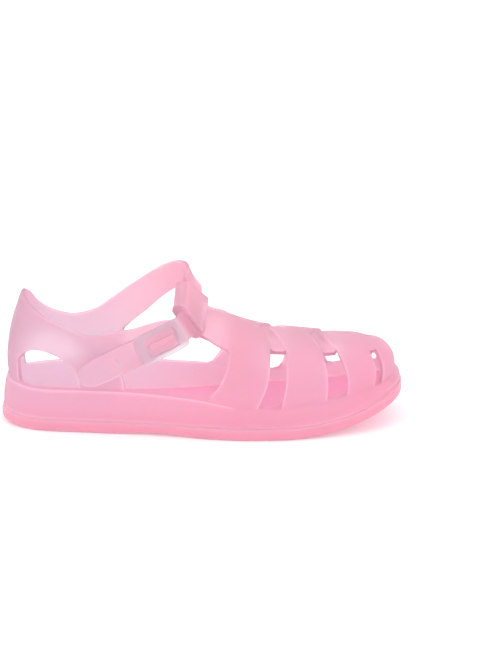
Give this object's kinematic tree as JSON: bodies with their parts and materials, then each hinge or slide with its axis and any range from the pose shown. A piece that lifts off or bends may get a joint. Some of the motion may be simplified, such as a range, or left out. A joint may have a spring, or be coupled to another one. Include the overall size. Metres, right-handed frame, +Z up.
{
  "type": "water shoe",
  "caption": "Child's right moulded jelly sandal with caged toe, T-bar, windowed heel counter and buckled ankle strap, for beach and water.",
  "frame": {"origin": "on the floor under the middle of the shoe's box", "axes": "+X towards the toe, +Y towards the inner side of the foot, +Z up"},
  "size_m": [0.1674, 0.0648, 0.0633],
  "materials": {
    "sole_pvc": "translucent soft moulded, satin",
    "footbed_pvc": "translucent soft moulded, matt",
    "upper_pvc": "translucent frosted soft moulded, satin",
    "buckle_clear": "clear moulded, satin"
  },
  "bodies": {
    "root": {"outsole": "sole_pvc", "insole": "footbed_pvc", "upper": "upper_pvc", "buckle_frame": "buckle_clear", "buckle_prong": "buckle_clear"}
  },
  "joints": []
}
